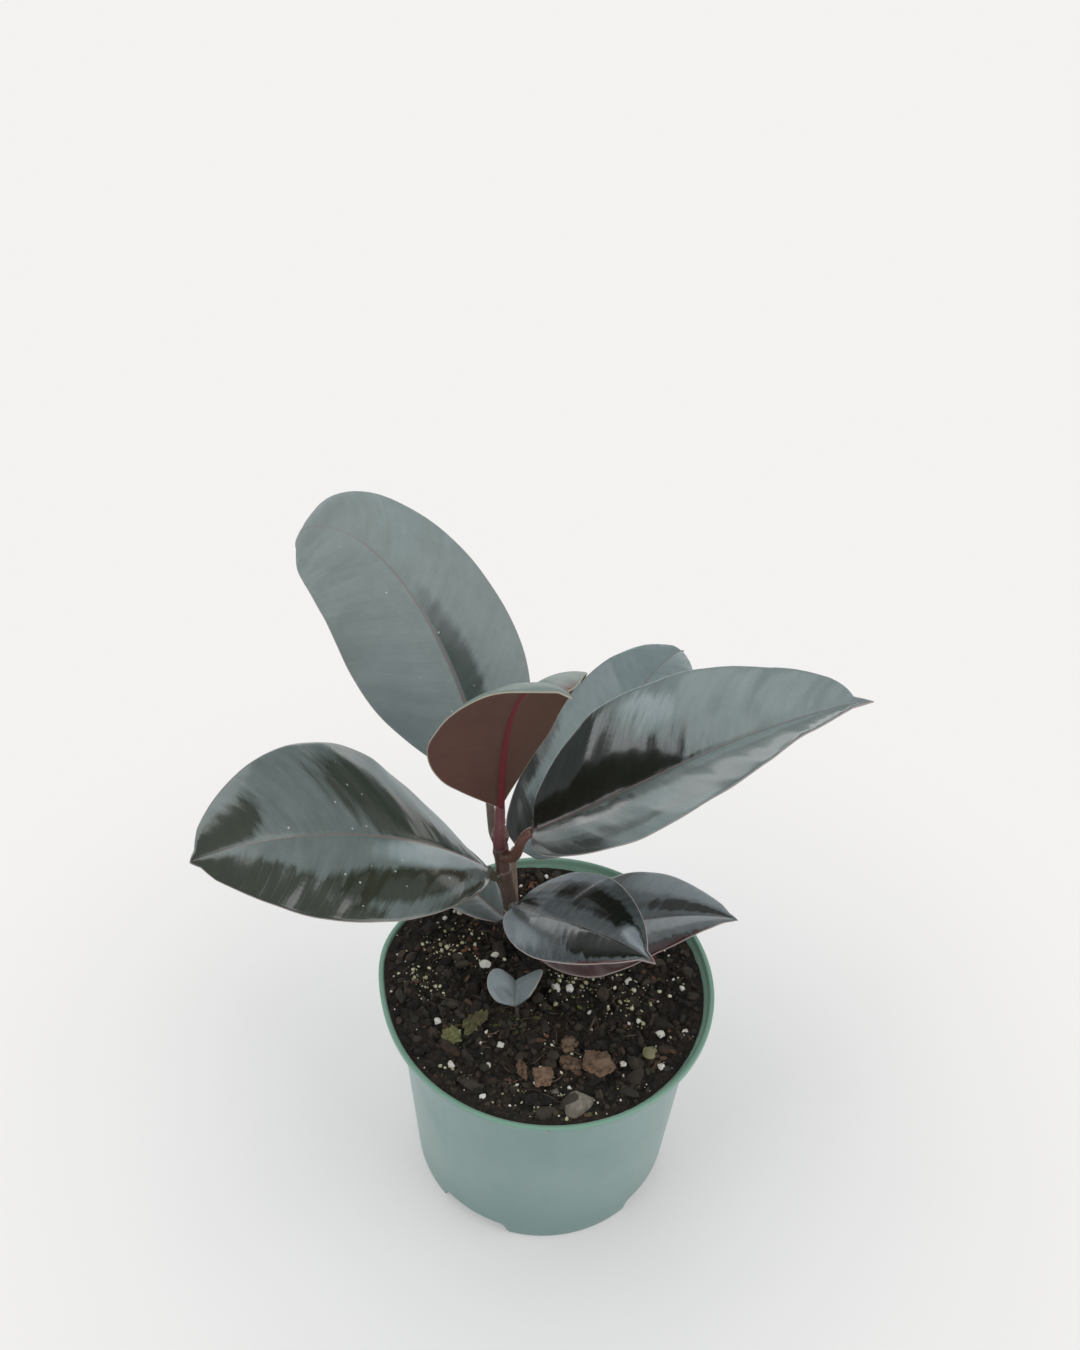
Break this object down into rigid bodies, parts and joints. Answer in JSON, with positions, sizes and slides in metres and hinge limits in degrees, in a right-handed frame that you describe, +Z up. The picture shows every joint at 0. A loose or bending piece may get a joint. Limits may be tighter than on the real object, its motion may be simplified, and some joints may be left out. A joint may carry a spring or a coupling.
{
  "type": "potted rubber plant",
  "caption": "Young rubber plant with broad glossy dark leaves on one short stem, in a round flared-rim nursery pot filled with potting mix.",
  "frame": {"origin": "centre of the pot's underside, on the surface that the pot stands on", "axes": "+Z up the pot's axis, -Y towards the side with the small front leaf, +X towards the large glossy right leaf"},
  "size_m": [0.2617, 0.2351, 0.328],
  "materials": {
    "pot_plastic": "satin grey-green injection-moulded plastic, greener at the rim",
    "potting_mix": "rough dark moist peat and bark mix with white grains",
    "stem_bark": "smooth brown-red young bark, greener towards the foot",
    "bud_sheath": "satin crimson",
    "leaf_green": "glossy blackish green with fine side veins, a pink-brown midrib and a pale thin margin",
    "leaf_young": "satin red-brown underside with a crimson midrib, grey-green upper face",
    "bark": "rough broken bark",
    "stone": "matte grey stone",
    "pebble": "matte olive pebble",
    "litter": "dry yellow-green plant scraps",
    "perlite": "matte chalky white"
  },
  "bodies": {
    "root": {"pot": "pot_plastic", "potting_mix": "potting_mix", "stem": "stem_bark", "bud_sheath": "bud_sheath", "leaf_rear_left_tall": "leaf_green", "leaf_young_cupped": "leaf_young", "leaf_right_large": "leaf_green", "leaf_rear_right": "leaf_green", "leaf_left_large": "leaf_green", "leaf_front_small": "leaf_green", "leaf_right_small": "leaf_green", "leaf_rear_low": "leaf_green", "leaf_basal_tiny": "leaf_green", "bark_chip_1": "bark", "bark_chip_2": "bark", "bark_chip_3": "bark", "bark_chip_4": "bark", "bark_chip_5": "bark", "stone_grey": "stone", "pebble_olive": "pebble", "pebble_grey": "stone", "leaf_litter_1": "litter", "leaf_litter_2": "litter", "perlite_1": "perlite", "perlite_2": "perlite", "perlite_3": "perlite", "perlite_4": "perlite", "perlite_5": "perlite", "perlite_6": "perlite", "perlite_7": "perlite", "perlite_8": "perlite", "perlite_9": "perlite", "perlite_10": "perlite", "perlite_11": "perlite", "perlite_12": "perlite"}
  },
  "joints": []
}
